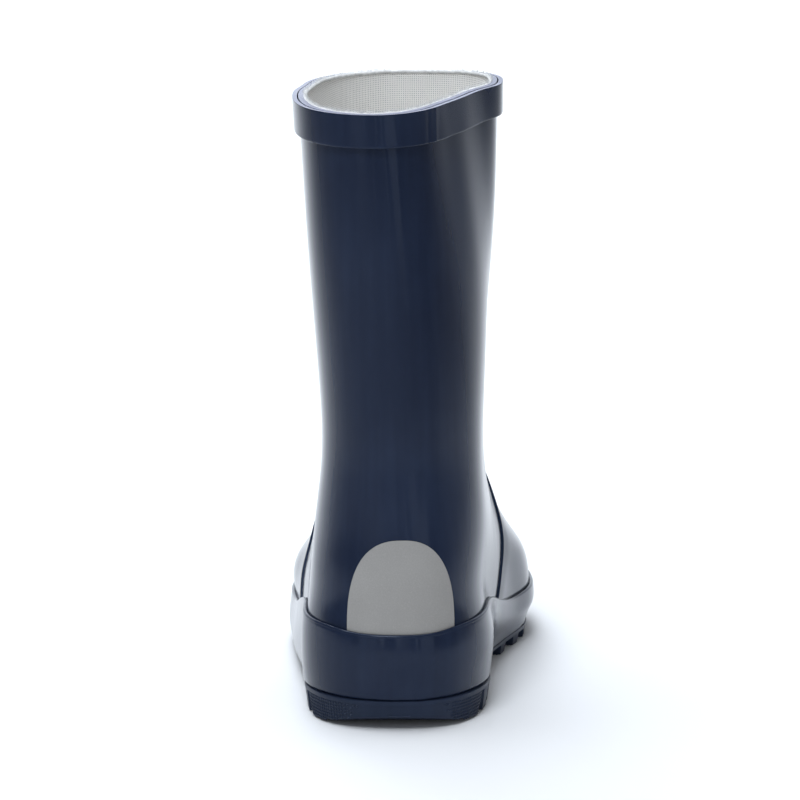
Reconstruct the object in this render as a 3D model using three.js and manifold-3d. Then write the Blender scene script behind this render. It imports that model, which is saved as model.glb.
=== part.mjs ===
// A child's rubber boot for the left foot, size 27, standing empty.
// Millimetres. +Z is up, +Y points to the toe and +X to the inner (medial) side of the foot.
// The boot is drawn from the back of its heel tread and then moved, so that the origin
// is on the ground in the middle of its footprint.
import * as THREE from 'three';
import { mergeVertices } from 'three/addons/utils/BufferGeometryUtils.js';
import Module from 'manifold-3d';

const wasm = await Module();
wasm.setup();

// Driving dimensions
const wallThickness = 2.2; // rubber with its knitted lining
const gap = 0.3; // between pieces that touch
const columns = 60; // steps round the boot
const foxingThickness = 1.3;
const collarBandThickness = 1.6;
const collarBandHeight = 12.9;
const insoleThickness = 2.8;
const treadEdge = 1.6; // height of the tread plate's edge
const treadSideSlope = 0.12; // how far the tread's side leans in, per millimetre of drop
const heelLugDepth = 8.6; // the buried root is included
const forefootLugDepth = 4.2;
const lugDraft = 0.17; // growth of a lug towards its root, per millimetre
const lean = 0.45; // slant of the forefoot lugs

// The last, level by level, from the joint with the tread up to the collar.
// back and front are the ends of a level's centre line. lateral and medial are its half widths
// at four stations: heel, waist, joint and ball. heelEnd is the share of its length that the
// round back takes, heelPower and nosePower say how square the round ends are. sag is how far
// the forefoot hangs below the straight line from back to front, and sagFrom is the share of
// the length where it starts to drop.
const levels = [
  { name: 'tread joint', back: [0, 1.8, 9.7], front: [12, 183.6, 10.6],
    lateral: [31.3, 35.6, 39.9, 42.4], medial: [25.4, 22.5, 28.1, 35.6],
    heelEnd: 0.21, heelPower: 2.2, nosePower: [2.2, 2.4], sag: 5.2, sagFrom: 0 },
  { name: 'feather edge', back: [0, 1.4, 15], front: [11.9, 184.8, 13.6],
    lateral: [31.6, 36.0, 40.3, 43.1], medial: [25.8, 23.4, 28.8, 36.2],
    heelEnd: 0.21, heelPower: 2.2, nosePower: [2.2, 2.4], sag: 5.6, sagFrom: 0.1 },
  { name: 'foxing middle', back: [0, 0.6, 21.8], front: [11.8, 186.4, 18.6],
    lateral: [31.8, 35.9, 40.0, 43.0], medial: [26.5, 25.9, 30.9, 38.3],
    heelEnd: 0.21, heelPower: 2.2, nosePower: [2.2, 2.4], sag: 7.4, sagFrom: 0.2 },
  { name: 'foxing top', back: [-0.1, 1.1, 29.6], front: [11.7, 186.4, 25.6],
    lateral: [31.6, 35.4, 39.3, 42.7], medial: [25.5, 27.2, 31.9, 38.5],
    heelEnd: 0.21, heelPower: 2.2, nosePower: [2.2, 2.4], sag: 9.4, sagFrom: 0.25 },
  { name: 'toe wall', back: [-0.3, 2.0, 35.4], front: [11.3, 182.8, 34],
    lateral: [30.7, 34.4, 39.0, 43.5], medial: [24.8, 27.6, 31.8, 38.2],
    heelEnd: 0.22, heelPower: 2.2, nosePower: [2.2, 2.3], sag: 10, sagFrom: 0.25 },
  { name: 'toe top', back: [-0.6, 3.0, 41], front: [10.6, 172, 42.2],
    lateral: [30.0, 33.0, 36.9, 40.6], medial: [25.1, 27.6, 30.9, 36.6],
    heelEnd: 0.23, heelPower: 2.2, nosePower: [2.2, 2.2], sag: 9.6, sagFrom: 0.25 },
  { name: 'vamp', back: [-1.0, 3.8, 47.4], front: [9.6, 157, 48.8],
    lateral: [29.0, 31.2, 33.2, 34.6], medial: [25.8, 27.6, 29.6, 32.6],
    heelEnd: 0.24, heelPower: 2.2, nosePower: [2.1, 2.1], sag: 8, sagFrom: 0.25 },
  { name: 'low instep', back: [-1.6, 4.5, 54.8], front: [8.5, 142, 56.4],
    lateral: [27.7, 28.9, 29.9, 31.0], medial: [26.6, 27.6, 28.1, 27.6],
    heelEnd: 0.27, heelPower: 2.1, nosePower: [2.1, 2.1], sag: 4, sagFrom: 0.25 },
  { name: 'instep', back: [-2.4, 5.3, 64], front: [7.3, 128.5, 66],
    lateral: [26.4, 26.8, 27.8, 28.2], medial: [27.4, 27.0, 26.8, 24.6],
    heelEnd: 0.3, heelPower: 2, nosePower: [2, 2.1], sag: 1, sagFrom: 0.25 },
  { name: 'high instep', back: [-3.2, 5.9, 75], front: [6.1, 118.8, 77],
    lateral: [24.6, 24.3, 25.4, 25.2], medial: [27.2, 26.7, 26.2, 23.8],
    heelEnd: 0.34, heelPower: 2, nosePower: [2, 2.2], sag: 0, sagFrom: 0.25 },
  { name: 'ankle', back: [-4.0, 6.3, 89], front: [5.0, 111.6, 91],
    lateral: [23.4, 23.2, 24.1, 23.0], medial: [28.2, 27.3, 26.6, 24.0],
    heelEnd: 0.38, heelPower: 2, nosePower: [2, 2.3], sag: 0, sagFrom: 0.25 },
  { name: 'calf', back: [-5.2, 6.3, 113], front: [3.9, 107.4, 116],
    lateral: [24.2, 24.3, 25.3, 24.0], medial: [28.2, 29.1, 29.2, 27.5],
    heelEnd: 0.4, heelPower: 2, nosePower: [2, 2.5], sag: 0, sagFrom: 0.25 },
  { name: 'shaft', back: [-6.6, 6.2, 150], front: [2.8, 105, 155.5],
    lateral: [25.6, 25.9, 27.0, 25.5], medial: [25.0, 27.2, 29.7, 31.5],
    heelEnd: 0.41, heelPower: 2, nosePower: [2, 2.9], sag: 0, sagFrom: 0.25 },
  { name: 'collar', back: [-8.0, 5.9, 188.6], front: [1.8, 103.1, 197],
    lateral: [26.4, 27.0, 28.2, 26.9], medial: [20.2, 22.8, 27.0, 33.0],
    heelEnd: 0.42, heelPower: 2, nosePower: [1.9, 3.3], sag: 0, sagFrom: 0.25 },
];
const featherEdge = 1;
const foxingTop = 3;
const collar = levels.length - 1;

// Outline of the tread plate, in the same terms
const treadOutline = {
  back: [0, 0], front: [12, 186.4],
  lateral: [32.2, 35, 38.2, 41.6], medial: [26.8, 24, 29.7, 37.2],
  heelEnd: 0.21, heelPower: 2.35, nosePower: [2.2, 2.4],
};

const firstStation = 0.21;
const stationStep = 0.16;
const lastStation = firstStation + 3 * stationStep;

const clamp = (value, low, high) => Math.min(Math.max(value, low), high);
const mix = (a, b, t) => a + (b - a) * t;
const smooth = (low, high, value) => THREE.MathUtils.smoothstep(value, low, high);

function hermite(p0, p1, slope0, slope1, t) {
  const t2 = t * t;
  const t3 = t2 * t;
  return (2 * t3 - 3 * t2 + 1) * p0 + (t3 - 2 * t2 + t) * slope0
    + (3 * t2 - 2 * t3) * p1 + (t3 - t2) * slope1;
}

// Catmull-Rom blend of a list of numbers at a place between its entries
function blend(values, place) {
  const last = values.length - 1;
  const i = clamp(Math.floor(place), 0, last - 1);
  const slope = (k) => (values[Math.min(k + 1, last)] - values[Math.max(k - 1, 0)]) / 2;
  return hermite(values[i], values[i + 1], slope(i), slope(i + 1), place - i);
}

function blendLevels(place) {
  const field = (read) => blend(levels.map(read), place);
  const triple = (name) => [0, 1, 2].map((k) => field((level) => level[name][k]));
  const widths = (name) => [0, 1, 2, 3].map((k) => field((level) => level[name][k]));
  return {
    back: triple('back'), front: triple('front'),
    lateral: widths('lateral'), medial: widths('medial'),
    heelEnd: field((level) => level.heelEnd),
    heelPower: field((level) => level.heelPower),
    nosePower: [0, 1].map((k) => field((level) => level.nosePower[k])),
    sag: field((level) => level.sag),
    sagFrom: field((level) => level.sagFrom),
  };
}

// Half width between the stations, level at the first and the last
function stationWidth(widths, share) {
  const place = clamp((share - firstStation) / stationStep, 0, 3);
  const i = Math.min(Math.floor(place), 2);
  const slopes = [0, (widths[2] - widths[0]) / 2, (widths[3] - widths[1]) / 2, 0];
  return hermite(widths[i], widths[i + 1], slopes[i], slopes[i + 1], place - i);
}

function roundEnd(distance, length, power) {
  const t = clamp(1 - distance / length, 0, 1);
  return Math.pow(1 - Math.pow(t, power), 1 / power);
}

function halfWidth(outline, share, inner) {
  const widths = inner ? outline.medial : outline.lateral;
  const power = outline.nosePower[inner ? 1 : 0];
  return stationWidth(widths, share)
    * roundEnd(share, outline.heelEnd, outline.heelPower)
    * roundEnd(1 - share, 1 - lastStation, power);
}

// Share of the level's length at a turn round the boot: 0 is the back, 0.5 the toe
const shareAt = (turn) => (1 - Math.cos(2 * Math.PI * turn)) / 2;

function planPoint(outline, turn) {
  const share = shareAt(turn);
  const inner = turn > 0.5;
  const across = halfWidth(outline, share, inner) * (inner ? 1 : -1);
  return [
    mix(outline.back[0], outline.front[0], share) + across,
    mix(outline.back[1], outline.front[1], share),
  ];
}

// How much of a level's sag is felt along its length: none at the heel, all at the ball,
// and it fades in the toe spring
const sagFull = 0.57;
const springFrom = 0.76;
function sagShare(level, share) {
  const arch = smooth(level.sagFrom, sagFull, share);
  const spring = Math.max(0, (share - springFrom) / (1 - springFrom));
  return arch * (1 - spring * spring);
}

const levelCache = new Map();
function levelAt(place) {
  if (!levelCache.has(place)) levelCache.set(place, blendLevels(place));
  return levelCache.get(place);
}

function lastPoint(place, turn) {
  const level = levelAt(place);
  const wrapped = ((turn % 1) + 1) % 1;
  const [x, y] = planPoint(level, wrapped);
  const share = shareAt(wrapped);
  const z = mix(level.back[2], level.front[2], share) - level.sag * sagShare(level, share);
  return new THREE.Vector3(x, y, z);
}

// A point on the last, moved outwards: level at the foxing and on the shaft, and square to
// the surface over the foot
function skinPoint(place, turn, offset = 0) {
  const point = lastPoint(place, turn);
  if (offset === 0) return point;
  const placeStep = 0.02;
  const turnStep = 0.004;
  const low = Math.max(place - placeStep, 0);
  const high = Math.min(place + placeStep, collar);
  const up = lastPoint(high, turn).sub(lastPoint(low, turn));
  const round = lastPoint(place, turn + turnStep).sub(lastPoint(place, turn - turnStep));
  const normal = up.cross(round).normalize();
  normal.z *= smooth(foxingTop, foxingTop + 2, place) * (1 - smooth(collar - 4, collar - 2, place));
  return point.addScaledVector(normal.normalize(), offset);
}

// A closed ring of points round the boot. place may be a number or depend on the turn.
function ring(place, offset = 0, change = null) {
  const points = [];
  for (let i = 0; i < columns; i++) {
    const turn = i / columns;
    const level = typeof place === 'function' ? place(turn) : place;
    const point = skinPoint(level, turn, offset);
    if (change) change(point, turn);
    points.push(point);
  }
  return points;
}

function treadRing(height, inset = 0) {
  const points = [];
  const turnStep = 0.004;
  for (let i = 0; i < columns; i++) {
    const turn = i / columns;
    const [x, y] = planPoint(treadOutline, turn);
    const [x0, y0] = planPoint(treadOutline, (turn - turnStep + 1) % 1);
    const [x1, y1] = planPoint(treadOutline, (turn + turnStep) % 1);
    const length = Math.hypot(x1 - x0, y1 - y0);
    const z = typeof height === 'function' ? height(turn) : height;
    points.push(new THREE.Vector3(
      x + (y1 - y0) / length * inset,
      y - (x1 - x0) / length * inset,
      z,
    ));
  }
  return points;
}

// Joins rings into a skin. capped closes the first and last ring straight across the boot,
// and otherwise the last ring joins the first, which makes a hollow band.
function loft(rings, capped) {
  const positions = rings.flat().flatMap((point) => [point.x, point.y, point.z]);
  const faces = [];
  const quad = (a, b, c, d) => faces.push(a, b, c, a, c, d);
  const joins = capped ? rings.length - 1 : rings.length;
  for (let r = 0; r < joins; r++) {
    const low = r * columns;
    const high = ((r + 1) % rings.length) * columns;
    for (let i = 0; i < columns; i++) {
      const j = (i + 1) % columns;
      quad(low + i, high + i, high + j, low + j);
    }
  }
  if (capped) {
    const half = columns / 2;
    const top = (rings.length - 1) * columns;
    const across = (i) => (columns - i) % columns;
    for (let i = 0; i < half; i++) {
      const [a, b] = [i, i + 1];
      const [c, d] = [across(i + 1), across(i)];
      if (i === 0) {
        faces.push(a, b, c, top + a, top + c, top + b);
      } else if (i === half - 1) {
        faces.push(a, b, d, top + a, top + d, top + b);
      } else {
        quad(a, b, c, d);
        quad(top + a, top + d, top + c, top + b);
      }
    }
  }
  const geometry = new THREE.BufferGeometry();
  geometry.setAttribute('position', new THREE.Float32BufferAttribute(positions, 3));
  geometry.setIndex(faces);
  return geometry;
}

// Solids for joining and cutting
function toSolid(geometry) {
  const bare = geometry.clone();
  bare.deleteAttribute('normal');
  bare.deleteAttribute('uv');
  const merged = mergeVertices(bare, 1e-4);
  return new wasm.Manifold(new wasm.Mesh({
    numProp: 3,
    vertProperties: new Float32Array(merged.attributes.position.array),
    triVerts: new Uint32Array(merged.index.array),
  }));
}

function toGeometry(solid) {
  const mesh = solid.getMesh();
  const geometry = new THREE.BufferGeometry();
  geometry.setAttribute('position', new THREE.BufferAttribute(mesh.vertProperties, 3));
  geometry.setIndex(new THREE.BufferAttribute(mesh.triVerts, 1));
  return geometry;
}

// Moves each side of a four-sided outline out by the same distance
function growOutline(outline, distance) {
  const count = outline.length;
  return outline.map((point, i) => {
    const before = outline[(i + count - 1) % count];
    const after = outline[(i + 1) % count];
    const inDirection = new THREE.Vector2(point[0] - before[0], point[1] - before[1]).normalize();
    const outDirection = new THREE.Vector2(after[0] - point[0], after[1] - point[1]).normalize();
    const inNormal = new THREE.Vector2(inDirection.y, -inDirection.x);
    const outNormal = new THREE.Vector2(outDirection.y, -outDirection.x);
    const corner = inNormal.clone().add(outNormal);
    corner.multiplyScalar(distance / (1 + inNormal.dot(outNormal)));
    return [point[0] + corner.x, point[1] + corner.y];
  });
}

// A four-sided lug: flat on the ground, wider at its root
function makeLug(outline, depth) {
  const root = growOutline(outline, depth * lugDraft);
  const positions = [
    ...outline.flatMap(([x, y]) => [x, y, 0]),
    ...root.flatMap(([x, y]) => [x, y, depth]),
  ];
  const faces = [0, 2, 1, 0, 3, 2, 4, 5, 6, 4, 6, 7];
  for (let i = 0; i < 4; i++) {
    const j = (i + 1) % 4;
    faces.push(i, j, j + 4, i, j + 4, i + 4);
  }
  const geometry = new THREE.BufferGeometry();
  geometry.setAttribute('position', new THREE.Float32BufferAttribute(positions, 3));
  geometry.setIndex(faces);
  return toSolid(geometry);
}

function makeBox(x0, x1, y0, y1, slant = 0) {
  const shift = slant * (y1 - y0);
  return [[x0, y0], [x1, y0], [x1 + shift, y1], [x0 + shift, y1]];
}

const beyondEdge = 60; // lugs that reach the edge run on to here and are cut off by the outline

// Forefoot lugs as bars and limbs that all lean alike: x from, x to, y from, y to
const forefootLugs = [
  // lateral hook at the front
  [-beyondEdge, -13.6, 146, 150.9], [-25, -19.4, 133.6, 150.9], [-beyondEdge, -19.4, 133.6, 138.2],
  // lateral tab
  [-beyondEdge, -20.5, 120.9, 125.7],
  // lateral hook at the back
  [-beyondEdge, -13.5, 108.4, 113.7], [-24.5, -18.8, 96.4, 113.7], [-beyondEdge, -18.8, 96.4, 101],
  // bar in the middle
  [-6, 12.8, 146.9, 151.5],
  // the long zigzag
  [-12, 7, 134.7, 139.3], [-10.2, -4.3, 126, 135], [-11.8, 14.8, 121.9, 126.7],
  [5.4, 11.4, 114, 122.2], [-4.1, 22.4, 109.9, 114.5], [-9.9, -4, 97.4, 114.2],
  [-9.9, beyondEdge, 97.4, 102.3], [17.6, 22.7, 109.9, 127.7], [23.2, beyondEdge, 122.9, 127.7],
  // medial tab
  [30.6, beyondEdge, 110.9, 115.8],
  // medial hook at the front
  [21.5, beyondEdge, 147.8, 152.5], [15.4, 21.2, 135, 152.5], [15.4, beyondEdge, 135, 140.2],
];

// Heel lugs: three blocks a side, with the size number between them
const heelBlock = { inside: -12.2, medialInside: 11.9, first: 25.2, length: 6.6, pitch: 12.1 };
const numberStart = 25.6;
const digitHeight = 30.8;
const digitTwo = {
  right: 9,
  strokes: [[0, 7.2, 24.6, digitHeight], [4.6, 7.2, 18, 25.2], [0, 7.2, 12.3, 18.7],
    [0, 2.7, 6, 12.8], [0, 7.2, 0, 6.4]],
};
const digitSeven = {
  right: -1.8,
  strokes: [[0, 7, 25, digitHeight], [3.9, 7, 0, 25.4]],
};

function heelLugOutlines() {
  const outlines = [];
  for (let i = 0; i < 3; i++) {
    const y0 = heelBlock.first + i * heelBlock.pitch;
    const y1 = y0 + heelBlock.length;
    outlines.push(makeBox(-beyondEdge, heelBlock.inside, y0, y1));
    outlines.push(makeBox(heelBlock.medialInside, beyondEdge, y0, y1));
  }
  // The number reads from below, so a stroke's left side is at the greater x
  for (const digit of [digitTwo, digitSeven]) {
    for (const [left, right, low, high] of digit.strokes) {
      outlines.push(makeBox(
        digit.right - right, digit.right - left, numberStart + low, numberStart + high,
      ));
    }
  }
  return outlines;
}

// The solid back of the heel: it rises to the back and ends in a straight wall
function heelBackSolid() {
  const profile = new THREE.Shape();
  profile.moveTo(-3, 6);
  profile.lineTo(0, 4.6);
  profile.lineTo(9, 1.5);
  profile.lineTo(17, 0);
  profile.lineTo(20, 0);
  profile.lineTo(20 + heelLugDepth * lugDraft, heelLugDepth);
  profile.lineTo(-3, heelLugDepth);
  profile.closePath();
  const width = 2 * beyondEdge;
  const geometry = new THREE.ExtrudeGeometry(profile, { depth: width, bevelEnabled: false });
  // The profile's x becomes y, its y becomes z, and the extrusion runs along x
  const turn = new THREE.Matrix4().makeBasis(
    new THREE.Vector3(0, 1, 0), new THREE.Vector3(0, 0, 1), new THREE.Vector3(1, 0, 0),
  );
  geometry.applyMatrix4(turn);
  geometry.translate(-beyondEdge, 0, 0);
  return toSolid(geometry);
}

const jointHeight = (turn) => lastPoint(0, turn).z;

function makeOutsole() {
  const lowerGap = (point) => { point.z -= gap; };
  const plate = loft([
    treadRing((turn) => jointHeight(turn) - treadEdge),
    treadRing((turn) => jointHeight(turn) - gap),
    ring(0, 0, lowerGap),
    ring(featherEdge / 2, 0, lowerGap),
    ring(featherEdge, 0, lowerGap),
  ], true);
  const drop = 12;
  const insideEdge = loft([
    treadRing((turn) => jointHeight(turn) - drop, drop * treadSideSlope),
    treadRing((turn) => jointHeight(turn) - gap),
  ], true);
  let lugs = heelBackSolid();
  for (const outline of heelLugOutlines()) lugs = lugs.add(makeLug(outline, heelLugDepth));
  for (const [x0, x1, y0, y1] of forefootLugs) {
    lugs = lugs.add(makeLug(makeBox(x0, x1, y0, y1, lean), forefootLugDepth));
  }
  return toGeometry(toSolid(plate).add(lugs.intersect(toSolid(insideEdge))));
}

// The foxing's top edge dips a little at the very back of the heel
function heelSideRise(turn) {
  const share = shareAt(turn);
  return 0.24 * smooth(0, 0.06, share) * (1 - smooth(0.22, 0.45, share));
}

function makeFoxing() {
  const steps = 6;
  const inner = [];
  const outer = [];
  for (let i = 0; i <= steps; i++) {
    const t = i / steps;
    const rise = smooth(0.4, 1, t);
    const place = (turn) => foxingTop * t + rise * heelSideRise(turn);
    const swell = foxingThickness * (0.82 + 0.3 * Math.sin(Math.PI * t));
    inner.push(ring(place, gap));
    outer.push(ring(place, gap + swell));
  }
  return loft([...outer, ...inner.reverse()], false);
}

// Rows of the upper, closer together where it turns over the foot
function upperRows() {
  const rows = [];
  for (let place = featherEdge; place < levels.length - 3; place += 0.5) rows.push(place);
  const shaftSteps = 5;
  for (let i = 0; i <= shaftSteps; i++) {
    rows.push(mix(levels.length - 3, collar, i / shaftSteps));
  }
  return rows;
}

function makeUpper() {
  const rows = upperRows();
  const outer = rows.map((place) => ring(place));
  const inner = rows.map((place) => ring(place, -wallThickness));
  return loft([...outer, ...inner.reverse()], false);
}

// The place on the shaft that lies a given height below the collar
function placeBelowCollar(turn, drop) {
  const topHeight = lastPoint(collar, turn).z;
  const lowHeight = lastPoint(collar - 1, turn).z;
  return collar - drop / (topHeight - lowHeight);
}

function makeCollarBand() {
  const steps = 2;
  const inner = [];
  const outer = [];
  for (let i = 0; i <= steps; i++) {
    const drop = collarBandHeight * (1 - i / steps);
    const place = (turn) => placeBelowCollar(turn, drop);
    inner.push(ring(place, gap));
    outer.push(ring(place, gap + collarBandThickness));
  }
  return loft([...outer, ...inner.reverse()], false);
}

function makeInsole() {
  const inset = -(wallThickness + gap);
  const raise = (amount) => (point, turn) => {
    point.z = lastPoint(featherEdge, turn).z + amount;
  };
  return loft([
    ring(featherEdge, inset, raise(0)),
    ring(featherEdge + 0.3, inset, raise(insoleThickness)),
  ], true);
}

const navyRubber = { color: 0x2b3348, roughness: 0.22, metalness: 0 };
const navySole = { color: 0x2f384c, roughness: 0.45, metalness: 0 };
const paleKnit = { color: 0xd6d6d2, roughness: 0.95, metalness: 0 };

function piece(name, geometry, finish) {
  const mesh = new THREE.Mesh(geometry, new THREE.MeshStandardMaterial(finish));
  mesh.name = name;
  return mesh;
}

const boot = new THREE.Group();
boot.add(
  piece('outsole', makeOutsole(), navySole),
  piece('foxing', makeFoxing(), navyRubber),
  piece('upper', makeUpper(), navyRubber),
  piece('collar_band', makeCollarBand(), navyRubber),
  piece('insole', makeInsole(), paleKnit),
);

const footprint = new THREE.Box3().setFromObject(boot);
const middle = footprint.getCenter(new THREE.Vector3());
boot.position.set(-middle.x, -middle.y, 0);

export default boot;
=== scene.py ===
import math
import random
from bisect import bisect_right

import bpy
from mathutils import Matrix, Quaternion, Vector
from mathutils.bvhtree import BVHTree


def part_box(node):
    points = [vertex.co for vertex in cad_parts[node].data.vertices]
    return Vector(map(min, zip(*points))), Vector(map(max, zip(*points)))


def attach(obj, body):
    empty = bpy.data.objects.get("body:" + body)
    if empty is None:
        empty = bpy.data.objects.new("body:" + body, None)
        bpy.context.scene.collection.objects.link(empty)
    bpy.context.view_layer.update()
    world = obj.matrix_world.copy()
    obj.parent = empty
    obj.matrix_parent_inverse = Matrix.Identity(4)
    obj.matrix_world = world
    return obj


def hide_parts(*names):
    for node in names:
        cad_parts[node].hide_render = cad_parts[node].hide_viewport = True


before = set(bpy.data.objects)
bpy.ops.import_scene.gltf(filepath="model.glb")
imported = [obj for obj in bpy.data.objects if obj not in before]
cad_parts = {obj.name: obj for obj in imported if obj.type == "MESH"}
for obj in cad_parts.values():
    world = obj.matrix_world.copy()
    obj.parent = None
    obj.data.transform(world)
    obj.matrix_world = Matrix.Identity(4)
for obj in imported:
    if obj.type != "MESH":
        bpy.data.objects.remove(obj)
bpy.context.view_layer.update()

mm = 0.001
rng = random.Random(27)
body = "root"
up = Vector((0, 0, 1))


def deselectAll():
    bpy.ops.object.select_all(action="DESELECT")


def activate(piece):
    deselectAll()
    piece.select_set(True)
    bpy.context.view_layer.objects.active = piece


def startEdit(piece, mode="FACE", action="DESELECT"):
    activate(piece)
    bpy.ops.object.mode_set(mode="EDIT")
    bpy.ops.mesh.select_mode(type=mode)
    bpy.ops.mesh.select_all(action=action)


def endEdit():
    bpy.ops.object.mode_set(mode="OBJECT")


def pickFaces(piece, wanted):  # leaves the piece in edit mode with those faces selected
    startEdit(piece, "FACE")
    endEdit()
    for face in piece.data.polygons:
        face.select = wanted(face)
    bpy.ops.object.mode_set(mode="EDIT")


def pickEdges(piece, wanted):  # the same for edges, which are told by their two ends
    startEdit(piece, "EDGE")
    endEdit()
    corners = piece.data.vertices
    for edge in piece.data.edges:
        edge.select = wanted(corners[edge.vertices[0]].co, corners[edge.vertices[1]].co)
    bpy.ops.object.mode_set(mode="EDIT")


def separated(piece, name):  # what is selected in edit mode becomes a piece of its own
    bpy.ops.mesh.separate(type="SELECTED")
    endEdit()
    part = [made for made in bpy.context.selected_objects if made is not piece][0]
    part.name = name
    return part


def newest(name):
    piece = bpy.context.object
    piece.name = name
    return piece


def modify(piece, kind, **settings):
    activate(piece)
    modifier = piece.modifiers.new(kind.lower(), kind)
    for key, value in settings.items():
        setattr(modifier, key, value)
    bpy.ops.object.modifier_apply(modifier=modifier.name)


def subdivide(piece, levels, **settings):
    modify(piece, "SUBSURF", levels=levels, render_levels=levels, **settings)


def roundEdges(piece, width, segments=2, angle=50):
    modify(piece, "BEVEL", width=width, segments=segments, limit_method="ANGLE",
           angle_limit=math.radians(angle))


def smoothFaces(piece, angle=40):
    activate(piece)
    bpy.ops.object.shade_smooth_by_angle(angle=math.radians(angle))


def faceOutwards(piece):
    startEdit(piece, action="SELECT")
    bpy.ops.mesh.normals_make_consistent(inside=False)
    endEdit()


def copyOfNode(node, name):  # the CAD piece's mesh with its corners joined and its grid of quads back
    piece = bpy.data.objects.new(name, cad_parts[node].data.copy())
    bpy.context.scene.collection.objects.link(piece)
    startEdit(piece)
    bpy.ops.mesh.customdata_custom_splitnormals_clear()
    bpy.ops.mesh.select_all(action="SELECT")
    bpy.ops.mesh.remove_doubles(threshold=0.002 * mm)
    bpy.ops.mesh.tris_convert_to_quads(face_threshold=math.pi, shape_threshold=math.pi)
    endEdit()
    return piece


def copyOf(piece, name):
    twin = bpy.data.objects.new(name, piece.data.copy())
    bpy.context.scene.collection.objects.link(twin)
    return twin


def keepCreases(piece, angle=50):  # sharp edges stay sharp under the subdivision that follows
    startEdit(piece, "EDGE")
    bpy.ops.mesh.edges_select_sharp(sharpness=math.radians(angle))
    bpy.ops.transform.edge_crease(value=1)
    endEdit()


def surfaceOf(piece):
    return BVHTree.FromObject(piece, bpy.context.evaluated_depsgraph_get())


def tubeAlong(piece, edges, radius, name):  # a round bead along some of the piece's edges
    startEdit(piece, "EDGE")
    endEdit()
    for index in edges:
        piece.data.edges[index].select = True
    bpy.ops.object.mode_set(mode="EDIT")
    bpy.ops.mesh.duplicate()
    tube = separated(piece, name)
    activate(tube)
    bpy.ops.object.convert(target="CURVE")
    tube.data.bevel_depth = radius
    tube.data.bevel_resolution = 3
    tube.data.use_fill_caps = True
    bpy.ops.object.convert(target="MESH")
    smoothFaces(tube, 80)
    return tube


def repeatAt(piece, places):  # a copy at each place, standing along a direction, spun and sized
    shape = [point.co.copy() for point in piece.data.vertices]
    modify(piece, "ARRAY", count=len(places), use_relative_offset=False,
           use_constant_offset=True, constant_offset_displace=(0, 0, 5 * mm))
    copies = piece.data.vertices
    for i, (place, direction, spin, size) in enumerate(places):
        turn = direction.to_track_quat("Z", "Y") @ Quaternion((0, 0, 1), spin)
        for k, corner in enumerate(shape):
            copies[i * len(shape) + k].co = place + turn @ (corner * size)


def joined(pieces, name):
    deselectAll()
    for piece in pieces:
        piece.select_set(True)
    bpy.context.view_layer.objects.active = pieces[0]
    bpy.ops.object.join()
    pieces[0].name = name
    return pieces[0]


def settle(piece):  # its place goes into the mesh
    activate(piece)
    bpy.ops.object.transform_apply(location=True, rotation=True, scale=True)


def smoothStep(low, high, value):
    t = min(max((value - low) / (high - low), 0), 1)
    return t * t * (3 - 2 * t)


def ripple(ridges, x):  # soft ridges and troughs, each with its place, height and width
    return sum(height * math.exp(-((x - place) / width) ** 2) for place, height, width in ridges)


def finishPiece(piece, slot, material, *nodes):
    piece.data.materials.clear()
    piece.data.materials.append(material)
    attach(piece, body)
    if nodes:
        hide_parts(*nodes)


class Wire:  # a socket of a material, on which sums are written as expressions
    def __init__(self, tree, socket=None):
        self.tree = tree
        self.socket = socket

    def node(self, kind, inputs=None, out=0, **settings):
        made = self.tree.nodes.new(kind)
        for key, value in settings.items():
            setattr(made, key, value)
        for key, value in (inputs or {}).items():
            if isinstance(value, Wire):
                self.tree.links.new(value.socket, made.inputs[key])
            else:
                made.inputs[key].default_value = value
        return Wire(self.tree, made.outputs[out])

    def maths(self, operation, a, b=0.0):
        return self.node("ShaderNodeMath", {0: a, 1: b}, operation=operation)

    def __add__(self, other):
        return self.maths("ADD", self, other)

    __radd__ = __add__

    def __mul__(self, other):
        return self.maths("MULTIPLY", self, other)

    __rmul__ = __mul__

    def __sub__(self, other):
        return self.maths("SUBTRACT", self, other)

    def __rsub__(self, other):
        return self.maths("SUBTRACT", other, self)

    def sine(self):
        return self.maths("SINE", self)

    def clamped(self, low, high):  # 0 below low, 1 above high
        return self.node("ShaderNodeMapRange", {"Value": self, "From Min": low, "From Max": high},
                         interpolation_type="SMOOTHSTEP")

    def mixed(self, a, b):  # colour a where this is 0, b where it is 1
        return self.node("ShaderNodeMix", {0: self, 6: a, 7: b}, out=2, data_type="RGBA")

    def noise(self, scale, detail=3.0, stretch=(1, 1, 1)):
        stretched = self.node("ShaderNodeMapping", {"Vector": self, "Scale": stretch})
        return self.node("ShaderNodeTexNoise", {"Vector": stretched, "Scale": scale, "Detail": detail,
                                                "Roughness": 0.5})

    def cells(self, scale):
        return self.node("ShaderNodeTexVoronoi", {"Vector": self, "Scale": scale})

    def into(self, shader, name):
        self.tree.links.new(self.socket, shader.inputs[name])

    def bumpInto(self, shader, strength, height):
        relief = self.node("ShaderNodeBump", {"Height": self, "Strength": strength, "Distance": height})
        relief.into(shader, "Normal")


def newMaterial(name, uvMap=None):  # with the place on the piece that its patterns follow
    material = bpy.data.materials.new(name)
    material.use_nodes = True
    wires = Wire(material.node_tree)
    if uvMap:
        place = wires.node("ShaderNodeUVMap", uv_map=uvMap)
    else:
        place = wires.node("ShaderNodeTexCoord", out=3)  # object coordinates
    return material, place, material.node_tree.nodes["Principled BSDF"]


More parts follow.
